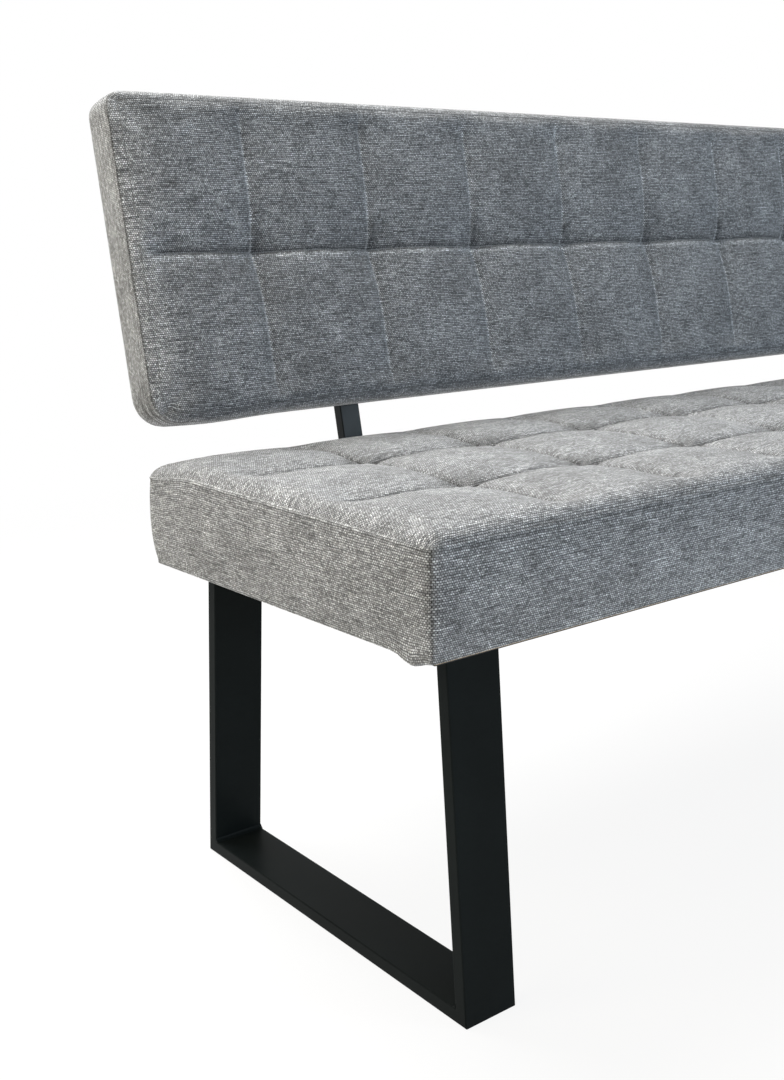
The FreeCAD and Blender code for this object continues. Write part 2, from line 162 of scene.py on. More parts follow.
class BenchFinish(bpy.types.PropertyGroup):
    """Colours of the bench's materials."""
    yarn_dark: setting(COLOUR, "Dark yarn", "Shadow yarn of the cloth", (0.045, 0.049, 0.056))
    yarn_mid: setting(COLOUR, "Grey yarn", "Main yarn of the cloth", (0.29, 0.30, 0.315))
    yarn_light: setting(COLOUR, "Pale yarn", "Slubs and flecks", (0.75, 0.755, 0.745))
    topstitch: setting(COLOUR, "Topstitch", "Thread of the topstitching", (0.12, 0.125, 0.13))
    # Thread of the back's seams, paler than the seat's, partly its own grey and partly a painted highlight
    thread: setting(COLOUR, "Thread", "Sewing thread", (0.27, 0.28, 0.29))
    steel: setting(COLOUR, "Powder coat", "Black coat of the steel", (0.0070, 0.0090, 0.0092))
    timber: setting(COLOUR, "Softwood", "Rails of the seat frame", (0.60, 0.42, 0.24))
    plywood: setting(COLOUR, "Plywood", "Deck and back board", (0.66, 0.50, 0.32))
    foam: setting(COLOUR, "Foam", "Filling", (0.82, 0.76, 0.58))
    dust_cloth: setting(COLOUR, "Dust cloth", "Spun cloth under the seat", (0.02, 0.02, 0.02))
    twine: setting(COLOUR, "Twine", "Tufting twine", (0.70, 0.64, 0.50))
    zinc: setting(COLOUR, "Zinc", "Plated fasteners", (0.62, 0.63, 0.64))


class BenchStage(bpy.types.PropertyGroup):
    """Lamps, floor and lens of the studio."""
    floor: setting(COLOUR, "Floor", "Colour of the studio floor", (0.9, 0.9, 0.9))
    sky: setting(NOT_NEGATIVE, "Sky", "Even light from all round", 0.23)
    top_lamp: setting(WATTS, "Top lamp", "Soft box above and behind", 92)
    left_lamp: setting(WATTS, "Left lamp", "Warm soft box at the left", 35)
    front_lamp: setting(WATTS, "Front lamp", "Cool soft box in front", 27)
    lens: FloatProperty(name="Lens", description="Focal length in millimetres", default=43.142, min=1)


# Curves and grids

def clustered(edges, count):
    """Places between each two edges, crowded at them: a + (b - a) (1 - cos(pi i / n)) / 2."""
    step = (1 - np.cos(np.pi * np.arange(count) / count)) / 2
    runs = [a + (b - a) * step for a, b in zip(edges, edges[1:])]
    return np.append(np.concatenate(runs), edges[-1])


def smooth(low, high, value):
    """Smooth step: 3 t^2 - 2 t^3 with t running from 0 at low to 1 at high."""
    t = np.clip((value - low) / (high - low), 0, 1)
    return t * t * (3 - 2 * t)


def bell(value, width, middle=0.0):
    """Bell curve: exp(-((v - m) / w)^2)."""
    return np.exp(-((value - middle) / width) ** 2)


def roll(distance, width):
    """Quarter ellipse from 0 at the rim to 1 at the given width."""
    t = 1 - np.clip(distance / width, 0, 1)
    return np.sqrt(np.clip(1 - t * t, 0, 1))


def dome(place):
    """Cross-section of a filled panel: (1 - |p|^2.3)^0.48."""
    return np.clip(1 - np.abs(place) ** 2.3, 0, 1) ** 0.48


def panel_place(value, edges):
    """Panel number of each value, and its place in the panel from -1 to 1."""
    edges = np.asarray(edges)
    panel = np.clip(np.searchsorted(edges, value, side="right") - 1, 0, len(edges) - 2)
    low, high = edges[panel], edges[panel + 1]
    return panel, 2 * (value - low) / (high - low) - 1


def open_end(place, panel, count, share):
    """Shortens the outer half of an end panel, which keeps its dome up at the rim."""
    place = np.where((panel == 0) & (place < 0), place * share, place)
    return np.where((panel == count - 1) & (place > 0), place * share, place)


def nearest_line(value, lines):
    """Signed distance to the nearest of several seams."""
    gaps = value[..., None] - np.asarray(lines)
    pick = np.abs(gaps).argmin(axis=-1)
    return np.take_along_axis(gaps, pick[..., None], axis=-1)[..., 0]


def rounded_corner(x, y, half_x, half_y, radius):
    """Maps a rectangle to one with round corners: each corner square goes onto a quarter disc."""
    over_x = np.clip(np.abs(x) - (half_x - radius), 0, None)
    over_y = np.clip(np.abs(y) - (half_y - radius), 0, None)
    reach = np.hypot(over_x, over_y)
    scale = np.where(reach > 0, np.maximum(over_x, over_y) / np.where(reach > 0, reach, 1), 1)
    round_x = np.sign(x) * (np.abs(x) - over_x + over_x * scale)
    round_y = np.sign(y) * (np.abs(y) - over_y + over_y * scale)
    return round_x, round_y


def cell_corners(grid):
    """The four corners of each cell of a grid, in the order of its quad."""
    return [grid[:-1, :-1], grid[1:, :-1], grid[1:, 1:], grid[:-1, 1:]]


def grid_quads(index):
    """Quads of an index grid."""
    return np.stack(cell_corners(index), axis=-1).reshape(-1, 4)


def corner_values(values):
    """Pairs of values of a grid at the corners of its quads."""
    return np.stack(cell_corners(values), axis=2).reshape(-1, 2)


def run_length(path, **closing):
    """Length along a path from its start to each of its points."""
    return np.append(0, np.cumsum(np.linalg.norm(np.diff(path, axis=0, **closing), axis=1)))


def new_piece(name, verts, faces):
    """Makes a smooth mesh object."""
    mesh = bpy.data.meshes.new(name)
    mesh.from_pydata(verts, [], faces)
    mesh.polygons.foreach_set("use_smooth", np.ones(len(mesh.polygons), dtype=bool))
    mesh.update()
    piece = bpy.data.objects.new(name, mesh)
    bpy.context.scene.collection.objects.link(piece)
    return piece


# Quilted cushions

class Cushion:
    """A quilted face, a boxing strip round it and, where asked, a rear panel, on one grid of quads.

    The face is z(x, y) over a rectangle, the strip is a section carried along the face's rim, and the
    rear panel repeats the face's grid. All is in metres in the cushion's own frame: X along the bench,
    Z out of the face. A painted shade of 0 keeps the cloth's own tone, a positive one darkens it, and a
    negative one paints light on it.
    """
    # Width of the end rolls, sag of the lower edge, nubs, hanging cloth, tucked foot and folded rings
    END_ROLL = 1.0
    SAG = 0.0
    NUB = 0.0
    HANG = 0.0
    TUCK = 0.0
    FOLDS = ()

    # Painted shade along the face's sides, painted light at its ends, and painted shade on the boxing's ends
    SIDE_SHADE = 0.0
    END_LIGHT = 0.0
    STRIP_SHADE = 0.0

    # Place of the topstitched groove, from the rim
    GROOVE_INSET = 0.009

    def __init__(self, half_x, half_y, column_lines, row_lines):
        corner_reach = 0.05
        self.half_x, self.half_y = half_x, half_y
        self.column_lines, self.row_lines = list(column_lines), list(row_lines)
        self.x_edges = [-half_x] + self.column_lines + [half_x]
        self.y_edges = [-half_y] + self.row_lines + [half_y]
        self.xs = clustered(self.x_edges, self.GRAIN[0])
        self.ys = clustered(self.y_edges, self.GRAIN[1])
        self.x, self.y = np.meshgrid(self.xs, self.ys, indexing="ij")
        self.radius = np.where(self.y < 0, *self.RADII)
        self.from_column = nearest_line(self.x, self.column_lines)
        self.from_row = nearest_line(self.y, self.row_lines)
        self.from_end = half_x - np.abs(self.x)
        self.from_side = half_y - np.abs(self.y)
        self.from_rim = np.minimum(self.from_end, self.from_side)
        self.from_corner = np.hypot(self.from_end, self.from_side)
        self.drop = self.CORNER_DROP * smooth(corner_reach, 0.0, self.from_corner)

    def face(self, form, rim_height):
        """Height of the face: a dome per panel on arched seams, and a rolled rim.

        With p, q the place in a panel, z = crown (s (1 - p^2 q^2) + (1 - s) dome(p) dome(q)).
        """
        fade_from, fade_to = 0.004, 0.045
        open_share, uneven, under_share = 0.5, 0.07, 0.1
        panel_x, place_x = panel_place(self.x, self.x_edges)
        panel_y, place_y = panel_place(self.y, self.y_edges)
        columns, rows = len(self.x_edges) - 1, len(self.y_edges) - 1
        place_x = open_end(place_x, panel_x, columns, open_share)
        place_y = open_end(place_y, panel_y, rows, open_share)
        draws = np.random.default_rng(SEED).standard_normal((columns, rows))
        filled = dome(place_x) * dome(place_y) * (1 + uneven * draws[panel_x, panel_y])
        arch = 1 - (place_x * place_y) ** 2
        swell = form.seam_rise * arch + (1 - form.seam_rise) * filled
        swell = 1 - smooth(fade_from, fade_to, self.from_rim) * (1 - swell)
        roll_x = roll(self.from_end, form.edge_roll * self.END_ROLL)
        roll_y = roll(self.from_side, form.edge_roll)
        under = form.crown * under_share
        return rim_height - self.drop + (form.crown * swell + under) * roll_x * roll_y - under

    def outline(self):
        """Grid places on the flat, with round corners and a lower edge that sags near its ends."""
        sag_reach, sag_place, sag_width = 0.12, 0.085, 0.060
        flat_x, flat_y = rounded_corner(self.x, self.y, self.half_x, self.half_y, self.radius)
        sag = self.SAG * smooth(sag_reach, 0.0, self.half_y + self.y)
        return flat_x, flat_y - sag * bell(self.from_end, sag_width, sag_place)

    def pull(self, form):
        """Depth of the sewing: a crease along each seam, a funnel at each crossing."""
        fade_from, fade_to = 0.006, 0.05
        pleats, pleat_turn, pleat_depth, pleat_place, pleat_width = 7, 1.3, 0.0014, 0.022, 0.016
        funnel_power, groove_width = 1.15, 0.0018
        column, row = self.from_column, self.from_row
        crease_x = form.crease_depth[0] * np.exp(-np.abs(column) / form.crease_width)
        row_width = np.where(row > 0, form.lip_width, form.crease_width)
        crease_y = form.crease_depth[1] * np.exp(-np.abs(row) / row_width)
        from_tuft, angle = np.hypot(column, row), np.arctan2(row, column)
        waves = pleat_depth * np.sin(pleats * angle + pleat_turn) * bell(from_tuft, pleat_width, pleat_place)
        funnel = form.tuft_depth * np.exp(-(from_tuft / form.tuft_reach) ** funnel_power)
        groove = form.rim_groove * bell(self.from_rim, groove_width, self.GROOVE_INSET)
        fade = smooth(fade_from, fade_to, self.from_rim)
        return fade * (np.maximum(crease_x, crease_y) + funnel + waves) + groove

    def painted_face_shade(self, form):
        """Painted shade on the face: seams (painted light where negative), halo, tuft pockets, sides;
        painted light on lips and ends.
        """
        fade_from, fade_to = 0.012, 0.045
        needle_width, halo_width, lip_place, lip_width = 0.0019, 0.007, -0.0048, 0.0034
        side_place, side_width, end_place, end_width = 0.006, 0.007, 0.012, 0.020
        column, row = self.from_column, self.from_row
        columns = form.seam_shade[0] * bell(column, needle_width)
        rows = form.seam_shade[1] * bell(row, np.where(row > 0, form.shade_reach, needle_width))
        halo = form.halo * bell(np.minimum(np.abs(column), np.abs(row)), halo_width)
        pocket_x = (column - form.pocket_place[0]) / form.pocket_width
        from_pocket = np.hypot(pocket_x, row - form.pocket_place[1])
        pocket = form.pocket_shade * bell(from_pocket, form.pocket_reach) + halo
        lip = form.lip_light * bell(row, lip_width, lip_place)
        fade = smooth(fade_from, fade_to, self.from_rim)
        shade = fade * (np.where(np.abs(rows) > np.abs(columns), rows, columns) + pocket - lip)
        shade += self.SIDE_SHADE * bell(self.from_side, side_width, side_place)
        shade -= self.END_LIGHT * bell(self.from_end, end_width, end_place)
        return shade

    def cloth_lengths(self, form):
        """Lengths along the cloth from its middle on both axes, over the rolled rim."""
        sides = []
        for places, half, wider in ((self.xs, self.half_x, self.END_ROLL), (self.ys, self.half_y, 1.0)):
            height = form.crown * roll(half - np.abs(places), form.edge_roll * wider)
            run = run_length(np.stack([places, height], axis=-1))
            sides.append(run - run[-1] / 2)
        return np.stack(np.meshgrid(*sides, indexing="ij"), axis=-1)

    def profile(self, height):
        """Section of the boxing as (outward, height): a welt and a bulged strip."""
        bulge_power, tuck_power = 0.7, 4
        welt = [(outward, height - fall) for outward, fall in self.WELT]
        down = np.linspace(0, 1, self.STRIP_STEPS)[1:]
        bulge = self.BULGE * np.sin(np.pi * down) ** bulge_power - self.TUCK * down ** tuck_power
        return np.vstack([welt, np.stack([bulge, height * (1 - down)], axis=-1)])

    def low_corner(self, rim):
        """1 at the low corners of the rim, fading away from them."""
        reach = 0.03
        return bell(self.from_corner.ravel()[rim], reach) * (self.y.ravel()[rim] < 0)

    def strip(self, path, rim, rim_height, profile):
        """Places of the boxing: its section carried round the rim, with nubs, folds and hang."""
        nub_place, nub_width, nub_height = 0.034, 0.014, 0.026
        hang_level, hang_height, fold_depth = 0.3, 0.08, 0.0016
        rim_x, rim_y, radius = (values.ravel()[rim] for values in (self.x, self.y, self.radius))
        core_x = np.clip(path[:, 0], radius - self.half_x, self.half_x - radius)
        core_y = np.clip(path[:, 1], radius - self.half_y, self.half_y - radius)
        out = np.stack([path[:, 0] - core_x, path[:, 1] - core_y], axis=-1)
        out /= np.linalg.norm(out, axis=1, keepdims=True)
        strip = np.empty((len(profile), len(rim), 3))
        strip[:, :, :2] = path[None, :, :2] + out[None] * profile[:, 0, None, None]
        strip[:, :, 2] = profile[:, 1, None] / rim_height * path[None, :, 2]
        on_end = np.abs(rim_x) > self.half_x - TINY
        nub = self.NUB * (on_end * bell(self.half_y + rim_y, nub_width, nub_place))
        strip[:, :, 2] -= nub * smooth(nub_height, 0.0, profile[:, 1])[:, None]
        for ring in self.FOLDS:
            strip[ring - 1, :, :2] -= fold_depth * out * self.low_corner(rim)[:, None]
        hang = self.HANG * (hang_level + rim_y / self.half_y)
        strip[:, :, 2] -= hang * smooth(hang_height, 0.0, profile[:, 1])[:, None]
        return strip

    def build(self, name, form, rim_height, rear_height=None):
        """Makes the mesh, with a UV map in metres along the cloth."""
        rear_puff, rear_reach = 0.0012, 0.05
        nx, ny = self.x.shape
        flat_x, flat_y = self.outline()
        face = np.stack([flat_x, flat_y, self.face(form, rim_height)], axis=-1)
        grid = np.arange(nx * ny).reshape(nx, ny)
        rim = np.concatenate([grid[:, 0], grid[-1, 1:], grid[-2::-1, -1], grid[0, -2:0:-1]])
        path = face.reshape(-1, 3)[rim]
        profile = self.profile(rim_height)
        strip = self.strip(path, rim, rim_height, profile)
        count = nx * ny + len(profile) * len(rim)
        rings = np.vstack([rim, np.arange(nx * ny, count).reshape(len(profile), -1)])
        closed = np.hstack([rings, rings[:, :1]])
        around = run_length(path[:, :2], append=path[:1, :2])
        hem = profile[:, 1] <= profile[-1, 1] + TINY
        strip_v = np.append(rim_height, profile[:, 1] - np.abs(profile[:, 0]) * hem)
        strip_uv = np.stack(np.broadcast_arrays(around[::-1, None], strip_v[None, :]), axis=-1)
        lengths = self.cloth_lengths(form)
        verts = [face.reshape(-1, 3), strip.reshape(-1, 3)]
        quads = [grid_quads(grid), grid_quads(closed.T[::-1])]
        uvs = [corner_values(lengths), corner_values(strip_uv)]
        if rear_height is not None:
            rear = np.full((nx, ny), -1)
            rear.ravel()[rim] = rings[-1]
            inner = rear < 0
            rear[inner] = count + np.arange(inner.sum())
            puff = smooth(0, rear_reach, self.from_rim) * rear_puff
            verts.append(np.stack([flat_x, flat_y, rear_height - puff], axis=-1)[inner])
            quads.append(grid_quads(rear[::-1]))
            uvs.append(corner_values(lengths[::-1]))
        self.verts, self.rings, self.face_count = np.concatenate(verts), rings, nx * ny
        self.object = new_piece(name, self.verts.tolist(), np.concatenate(quads).tolist())
        layer = self.object.data.uv_layers.new(name="cloth")
        layer.data.foreach_set("uv", np.concatenate(uvs).astype(np.float32).ravel())

    def set_verts(self, verts):
        """Writes vertex places into the mesh."""
        self.verts = verts
        self.object.data.vertices.foreach_set("co", verts.astype(np.float32).ravel())
        self.object.data.update()

    def pinned(self):
        """Vertices that the sewing holds: seams, tufts, rim and the lower boxing."""
        seam_width, seam_inset, rim_width = 0.0012, 0.03, 0.0005
        held = np.ones(len(self.verts), dtype=bool)
        seam = np.minimum(np.abs(self.from_column), np.abs(self.from_row)) < seam_width
        face_held = (seam & (self.from_rim > seam_inset)) | (self.from_rim < rim_width)
        held[:self.face_count] = face_held.ravel()
        free_rings = self.rings[2:max(3, len(self.rings) * 2 // 3)].ravel()
        held[free_rings] = False
        return held

    def fill(self, form):
        """Cloth simulation: pressure lifts the cloth between held seams, up to the cap."""
        frames = 20
        group = self.object.vertex_groups.new(name="sewn")
        group.add(np.flatnonzero(self.pinned()).tolist(), 1.0, "REPLACE")
        cloth = self.object.modifiers.new("filling", "CLOTH")
        for key, value in CLOTH.items():
            setattr(cloth.settings, key, value)
        cloth.settings.effector_weights.gravity = 0
        cloth.settings.vertex_group_mass = "sewn"
        cloth.collision_settings.use_collision = False
        cloth.point_cache.frame_start = 1
        cloth.point_cache.frame_end = frames
        for step in range(1, frames + 1):
            bpy.context.scene.frame_set(step)
        evaluated = self.object.evaluated_get(bpy.context.evaluated_depsgraph_get())
        moved = np.empty(len(self.verts) * 3, dtype=np.float32)
        evaluated.data.vertices.foreach_get("co", moved)
        shift = moved.reshape(-1, 3) - self.verts
        distance = np.linalg.norm(shift, axis=1, keepdims=True)
        shift *= np.minimum(1, form.puff / np.maximum(distance, TINY))
        self.object.modifiers.remove(cloth)
        self.object.vertex_groups.remove(group)
        bpy.context.scene.frame_set(1)
        self.set_verts(self.verts + shift)

    def sew(self, form):
        """Draws the face in at seams and tufts, and keeps the painted shade and light as the 'seam'
        attribute.
        """
        end_width, fold_shade, corner_shade, corner_width = 0.006, 1.3, 0.5, 0.0022
        verts = self.verts.copy()
        verts[:self.face_count, 2] -= self.pull(form).ravel()
        self.set_verts(verts)
        rim = self.rings[0]
        # Painted shade, and painted light where negative: on the face, on the boxing's ends, on the rim
        # rings and in the corner folds, and a darker line down each vertical corner seam
        shade = np.zeros(len(verts), dtype=np.float32)
        shade[:self.face_count] = self.painted_face_shade(form).ravel()
        shade[self.rings[1:]] = self.STRIP_SHADE * (np.abs(self.x.ravel()[rim]) > self.half_x - end_width)
        for ring, edge_shade in enumerate(self.EDGE_SHADES):
            shade[self.rings[ring]] = edge_shade
        for ring in self.FOLDS:
            shade[self.rings[ring]] += fold_shade * self.low_corner(rim)
        shade[self.rings[1:-2]] += corner_shade * bell(self.from_corner.ravel()[rim], corner_width)
        attribute = self.object.data.attributes.new("seam", "FLOAT", "POINT")
        attribute.data.foreach_set("value", shade)

    def place(self, matrix):
        """Moves the mesh from the cushion's own frame into the bench's."""
        turn = np.array(matrix.to_3x3())
        self.set_verts(self.verts @ turn.T + np.array(matrix.translation))
        self.up = turn @ np.array([0.0, 0.0, 1.0])

    def make(self, name, form, rim_height, matrix, rear_height=None):
        """Builds, fills, sews and places the cushion, and returns its object."""
        self.build(name, form, rim_height, rear_height)
        self.fill(form)
        self.sew(form)
        self.place(matrix)
        return self.object

    def face_grid(self):
        """Vertices of the face as a grid."""
        return self.verts[:self.face_count].reshape(self.x.shape + (3,))

    def seam_paths(self):
        """Paths of the needle lines, one per seam, stopping short of the rim."""
        inset = 0.030
        face = self.face_grid()
        paths = []
        for line in self.column_lines:
            column = int(np.abs(self.xs - line).argmin())
            paths.append(face[column, np.abs(self.ys) < self.half_y - inset])
        for line in self.row_lines:
            row = int(np.abs(self.ys - line).argmin())
            paths.append(face[np.abs(self.xs) < self.half_x - inset, row])
        return paths

    def groove_path(self):
        """Closed path along the topstitched groove."""
        face = self.face_grid()
        i = int(np.abs(self.xs + self.half_x - self.GROOVE_INSET).argmin())
        j = int(np.abs(self.ys + self.half_y - self.GROOVE_INSET).argmin())
        front, rear = face[i:len(self.xs) - i, j], face[i:len(self.xs) - i, -1 - j]
        left, right = face[i, j:len(self.ys) - j], face[-1 - i, j:len(self.ys) - j]
        return np.concatenate([front, right[1:], rear[-2::-1], left[-2::-1]])


class SeatCushion(Cushion):
    """The seat: a stitched edge that falls to the rear, and a hem turned under at the foot."""
    # Grid steps per panel, corner radii at low and high Y, and fall of the corners
    GRAIN = (24, 24)
    RADII = (0.009, 0.014)
    CORNER_DROP = 0.001
    FALL_REACH = 0.11
    NUB = 0.007
    HANG = 0.003
    WELT = ((0.0016, 0.0012), (0.0004, 0.0040))
    STRIP_STEPS = 17
    BULGE = 0.003
    TUCK = 0.0055
    HEM = ((-0.0035, 0.0022), (-0.0085, 0.0), (-0.013, 0.0004))
    # Painted shade on the first and third rim rings, and a painted highlight on the welt ring between them
    EDGE_SHADES = (0.25, -0.35, 0.40)

    def fall_to_rear(self, drop):
        """Lets the face's rear edge fall."""
        self.drop = self.drop + drop * smooth(self.FALL_REACH, 0.0, self.half_y - self.y)

    def profile(self, height):
        """Section of the boxing, ending in a hem under the seat."""
        return np.vstack([super().profile(height)[:-1], self.HEM])


class BackCushion(Cushion):
    """The backrest: wide rolls at its ends, a sagging lower edge and folds at its lower corners."""
    GRAIN = (24, 28)
    RADII = (0.034, 0.020)
    CORNER_DROP = 0.002
    END_ROLL = 4.0
    SAG = 0.003
    FOLDS = (3, 6)
    WELT = ((0.0004, 0.0016),)
    STRIP_STEPS = 11
    BULGE = 0.0016
    # Painted shade on the rim ring, along the face's sides and on the boxing's ends, and painted light at
    # the face's ends
    EDGE_SHADES = (0.85,)
    SIDE_SHADE = 0.22
    END_LIGHT = 0.28
    STRIP_SHADE = 0.05


def column_lines(columns):
    """Places of the column seams: even steps from one outermost tuft to the other."""
    pitch = 2 * OUTER_COLUMN / (columns - 2)
    return [(i - columns / 2) * pitch for i in range(1, columns)]


# Sewing thread

def resampled(path, step):
    """Points at even steps along a path, and their lengths along it."""
    run = run_length(path)
    place = np.linspace(0, run[-1], max(int(run[-1] / step), 2))
    return np.stack([np.interp(place, run, path[:, k]) for k in range(3)], axis=-1), place


def thread_mesh(name, paths, up, radius):
    """Sewing thread as a tube along each path, which dives under between stitches."""
    flatness, lift = 0.4, 0.6
    angles = np.arange(THREAD_SIDES) * 2 * np.pi / THREAD_SIDES
    verts, quads, count = [], [], 0
    for path in paths:
        points, place = resampled(path, THREAD_STEP)
        forward = np.gradient(points, axis=0)
        forward /= np.linalg.norm(forward, axis=1, keepdims=True)
        side = np.cross(forward, up)
        side /= np.linalg.norm(side, axis=1, keepdims=True)
        rise = np.cross(side, forward)
        wave = np.abs(np.sin(np.pi * place / STITCH_LENGTH)) ** flatness
        middle = points + rise * (radius * lift - STITCH_SINK * (1 - wave))[:, None]
        ring = np.cos(angles)[None, :, None] * side[:, None] + np.sin(angles)[None, :, None] * rise[:, None]
        verts.append((middle[:, None] + radius * ring).reshape(-1, 3))
        index = count + np.arange(len(points) * THREAD_SIDES).reshape(-1, THREAD_SIDES)
        quads.append(grid_quads(np.hstack([index, index[:, :1]])))
        count += index.size
    return new_piece(name, np.concatenate(verts).tolist(), np.concatenate(quads).tolist())


def finish_thread(piece, name, colour):
    """Gives sewing thread its colour and ties it to the bench."""
    dress(piece, speckled_material(
        name, colour, tint_share=1.3, size=900.0, roughness=0.8, bump=0.3, Sheen_Weight=0.1))
    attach(piece, "root")


# Shader building

def add(tree, kind, inputs=None, **settings):
    """Adds a node with its options and inputs; an input given as a socket is linked."""
    made = tree.nodes.new(kind)
    for key, value in settings.items():
        setattr(made, key, value)
    for key, value in (inputs or {}).items():
        if isinstance(value, bpy.types.NodeSocket):
            tree.links.new(value, made.inputs[key])
        else:
            made.inputs[key].default_value = value
    return made


def new_group(name, inputs, **outputs):
    """Makes a shader group from a vector and other inputs to a colour, a height and other outputs."""
    group = bpy.data.node_groups.new(name, "ShaderNodeTree")
    inputs = {"Vector": "Vector", **inputs}
    outputs = {"Color": "Color", "Height": "Float", **outputs}
    for side, sockets in (("INPUT", inputs), ("OUTPUT", outputs)):
        for label, kind in sockets.items():
            group.interface.new_socket(label, in_out=side, socket_type="NodeSocket" + kind)
    return group, group.nodes.new("NodeGroupInput"), group.nodes.new("NodeGroupOutput")


def noise(tree, vector, scale, detail):
    """Plain noise."""
    inputs = {"Vector": vector, "Scale": scale, "Detail": detail}
    return add(tree, "ShaderNodeTexNoise", inputs).outputs["Fac"]


def streaks(tree, vector, scale, detail, start=0.0):
    """Noise on coordinates that are scaled unevenly, which draws it out into streaks."""
    inputs = {"Vector": vector, "Scale": scale, "Location": (start, start, start)}
    return noise(tree, add(tree, "ShaderNodeMapping", inputs).outputs[0], 1.0, detail)


def ranged(tree, value, low, high, to_low=0.0, to_high=1.0):
    """Maps a value from one range to another, clamped."""
    inputs = {"Value": value, "From Min": low, "From Max": high, "To Min": to_low, "To Max": to_high}
    return add(tree, "ShaderNodeMapRange", inputs, clamp=True).outputs[0]


def mixed(tree, factor, first, second, blend="MIX"):
    """Mixes two colours."""
    inputs = {0: factor, 6: first, 7: second}
    return add(tree, "ShaderNodeMix", inputs, data_type="RGBA", blend_type=blend).outputs[2]


def math_node(tree, operation, first, second):
    """Joins two values by arithmetic."""
    return add(tree, "ShaderNodeMath", {0: first, 1: second}, operation=operation).outputs[0]


def times(tree, first, second):
    """Product of two values."""
    return math_node(tree, "MULTIPLY", first, second)


def plus(tree, first, second):
    """Sum of two values."""
    return math_node(tree, "ADD", first, second)


def marled_weave_group():
    """Marled cloth on UV in metres: staggered yarn floats, dark and pale picks along the weft, patches.

    The painted shade input is a power of the painted shade tone: 1 gives a seam's full painted shade, 0
    none, and a negative value painted light.
    """
    drift_size, drift_reach = 60.0, 0.0018
    floats = {
        "Scale": 200.0, "Mortar Size": 0.1, "Mortar Smooth": 1.0, "Brick Width": 0.52, "Row Height": 0.45}
    names = ("Dark Yarn", "Grey Yarn", "Pale Yarn")
    grey_share, dark_share, pale_share, painted_shade_tone = 0.50, 0.55, 0.15, 0.42
    yarn_height, slub_height, pale_height = 0.6, 0.5, 0.3
    group, source, result = new_group("Marled weave", {**dict.fromkeys(names, "Color"), "Seam": "Float"})
    cloth = source.outputs["Vector"]
    dark_yarn, grey_yarn, pale_yarn = (source.outputs[name] for name in names)
    inputs = {"Vector": cloth, "Scale": drift_size, "Detail": 1.0}
    drift = add(group, "ShaderNodeTexNoise", inputs).outputs["Color"]
    inputs = {0: drift, 1: (drift_reach, drift_reach, 0.0), 2: cloth}
    bent = add(group, "ShaderNodeVectorMath", inputs, operation="MULTIPLY_ADD").outputs[0]
    colours = {"Color1": (0, 0, 0, 1), "Color2": (1, 1, 1, 1), "Mortar": (0, 0, 0, 1)}
    beads = add(group, "ShaderNodeTexBrick", {"Vector": bent, **colours, **floats})
    tone = ranged(group, beads.outputs["Color"], 0.0, 1.0, 0.78, 2.02)
    gap = ranged(group, beads.outputs["Fac"], 0.0, 1.0, 1.20, 0.08)
    slub = ranged(group, streaks(group, cloth, (50, 430, 1), 2), 0.37, 0.61)
    grain = ranged(group, streaks(group, cloth, (520, 760, 1), 1, 5.0), 0.30, 0.70, 0.5, 1.5)
    pale = ranged(group, streaks(group, cloth, (50, 430, 1), 2, 11.0), 0.60, 0.70)
    dark = ranged(group, streaks(group, cloth, (26, 430, 1), 2, 23.0), 0.56, 0.66)
    patch = ranged(group, streaks(group, cloth, (10, 14, 1), 2, 31.0), 0.30, 0.70, 0.85, 1.15)
    mottle = ranged(group, streaks(group, cloth, (30, 46, 1), 3, 43.0), 0.30, 0.70, 0.86, 1.14)
    body = mixed(group, slub, dark_yarn, grey_yarn)
    body = mixed(group, grey_share, body, grey_yarn)
    body = mixed(group, times(group, dark, dark_share), body, dark_yarn)
    body = mixed(group, times(group, pale, pale_share), body, pale_yarn)
    yarns = times(group, tone, gap)
    # Painted shade, or painted light where negative, as a factor on the colour
    seam = math_node(group, "POWER", painted_shade_tone, source.outputs["Seam"])
    shade = times(group, times(group, patch, mottle), grain)
    shade = times(group, times(group, shade, yarns), seam)
    shades = add(group, "ShaderNodeCombineColor", {0: shade, 1: shade, 2: shade}).outputs[0]
    height = plus(group, times(group, yarns, yarn_height), times(group, slub, slub_height))
    height = plus(group, height, times(group, pale, pale_height))
    group.links.new(mixed(group, 1.0, body, shades, "MULTIPLY"), result.inputs["Color"])
    group.links.new(height, result.inputs["Height"])
    return group


def grained_group():
    """Wood: long rings and pores drawn out along X."""
    pore_share = 0.3
    group, source, result = new_group("Sawn grain", {"Pale": "Color", "Dark": "Color"})
    wood = source.outputs["Vector"]
    rings = ranged(group, streaks(group, wood, (3, 60, 60), 4), 0.3, 0.7)
    pores = ranged(group, streaks(group, wood, (40, 900, 900), 2), 0.45, 0.75)
    colour = mixed(group, rings, source.outputs["Pale"], source.outputs["Dark"])
    colour = mixed(group, times(group, pores, pore_share), colour, source.outputs["Dark"])
    group.links.new(colour, result.inputs["Color"])
    group.links.new(math_node(group, "SUBTRACT", rings, pores), result.inputs["Height"])
    return group


def speckled_group():
    """Fine speckle for coats, foam, thread and spun cloth: two sizes of noise."""
    wide_size = 9.0
    group, source, result = new_group(
        "Fine speckle", {"Base": "Color", "Tint": "Color", "Size": "Float"}, Mask="Float")
    fine = noise(group, source.outputs["Vector"], source.outputs["Size"], 2.0)
    wide = noise(group, source.outputs["Vector"], wide_size, 4.0)
    mask = ranged(group, plus(group, times(group, fine, 0.5), times(group, wide, 0.5)), 0.35, 0.65)
    colour = mixed(group, mask, source.outputs["Base"], source.outputs["Tint"])
    group.links.new(colour, result.inputs["Color"])
    group.links.new(fine, result.inputs["Height"])
    group.links.new(wide, result.inputs["Mask"])
    return group


GROUPS = {}


